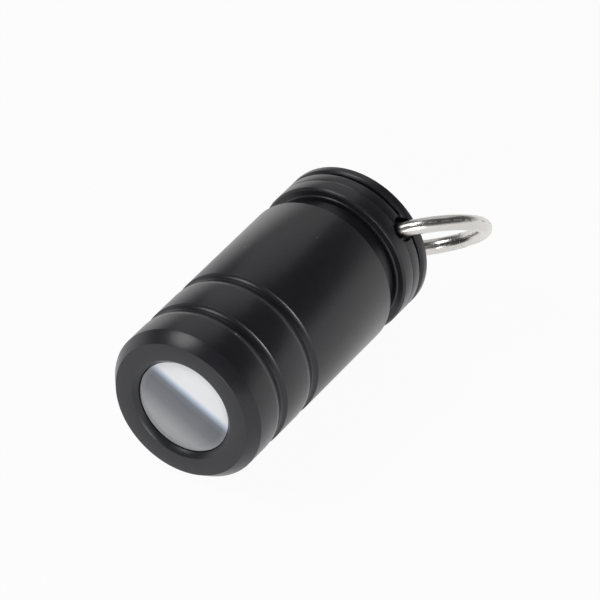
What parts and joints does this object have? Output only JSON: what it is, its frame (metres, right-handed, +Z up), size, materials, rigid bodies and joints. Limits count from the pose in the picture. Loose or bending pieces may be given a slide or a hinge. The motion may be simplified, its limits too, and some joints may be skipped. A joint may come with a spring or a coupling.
{
  "type": "keychain flashlight",
  "caption": "Small turned-metal keychain flashlight with a domed lens, a grooved head, a twist-on tail cap and a split ring through the cap's rim.",
  "frame": {"origin": "on the barrel's axis, half way along the plain grip between the second groove and the barrel's end", "axes": "+Y along the axis from lens to tail, +Z up with the flashlight lying on its side"},
  "size_m": [0.0201, 0.0394, 0.016],
  "materials": {
    "black_anodised": "satin black anodised",
    "black_rubber": "matt rubber",
    "lens_glass": "polished clear",
    "reflector_plating": "vacuum plated, bright",
    "white_ceramic": "matt ceramic",
    "phosphor": "matt phosphor",
    "clear_silicone": "clear moulded",
    "board_laminate": "satin solder mask",
    "component_black": "matt",
    "brass": "turned",
    "sleeve_film": "thin clear film",
    "spring_steel": "drawn wire",
    "nickel_steel": "nickel plated, bright",
    "cell_steel": "bright rolled",
    "cell_nylon": "moulded",
    "cell_filling": "pressed powder"
  },
  "bodies": {
    "barrel_body": {"barrel": "black_anodised", "lens_seal": "black_rubber", "lens": "lens_glass", "reflector": "reflector_plating", "lamp_base": "white_ceramic", "lamp_chip": "phosphor", "lamp_dome": "clear_silicone", "circuit_board": "board_laminate", "board_resistor": "component_black", "ground_ring": "brass", "board_retainer": "brass", "positive_contact": "brass"},
    "cell_stack": {"cell_sleeve": "sleeve_film", "cell_1_can": "cell_steel", "cell_1_lid": "cell_steel", "cell_1_gasket": "cell_nylon", "cell_1_core": "cell_filling", "cell_2_can": "cell_steel", "cell_2_lid": "cell_steel", "cell_2_gasket": "cell_nylon", "cell_2_core": "cell_filling", "cell_3_can": "cell_steel", "cell_3_lid": "cell_steel", "cell_3_gasket": "cell_nylon", "cell_3_core": "cell_filling"},
    "cap_body": {"tail_cap": "black_anodised", "cap_seal": "black_rubber", "spring_plate": "brass", "tail_spring": "spring_steel"},
    "ring_body": {"split_ring": "nickel_steel"}
  },
  "joints": [
    {"name": "cell_press", "type": "slide", "parent": "barrel_body", "child": "cell_stack", "axis": [0, -1, 0], "range_m": [0, 0.000375]},
    {"name": "cap_twist", "type": "hinge", "parent": "cell_stack", "child": "cap_body", "pos_m": [0, 0, 0], "axis": [0, -1, 0], "range_deg": [0, 180]},
    {"name": "ring_swing", "type": "hinge", "parent": "cap_body", "child": "ring_body", "pos_m": [0.0049, 0.01165, 0.00363], "axis": [0.8039, 0, 0.5948], "range_deg": [-26.5, 93.5]}
  ],
  "couplings": [
    {"joint": "cap_twist", "follows": "cell_press", "rad_per_m": 8377.6}
  ]
}
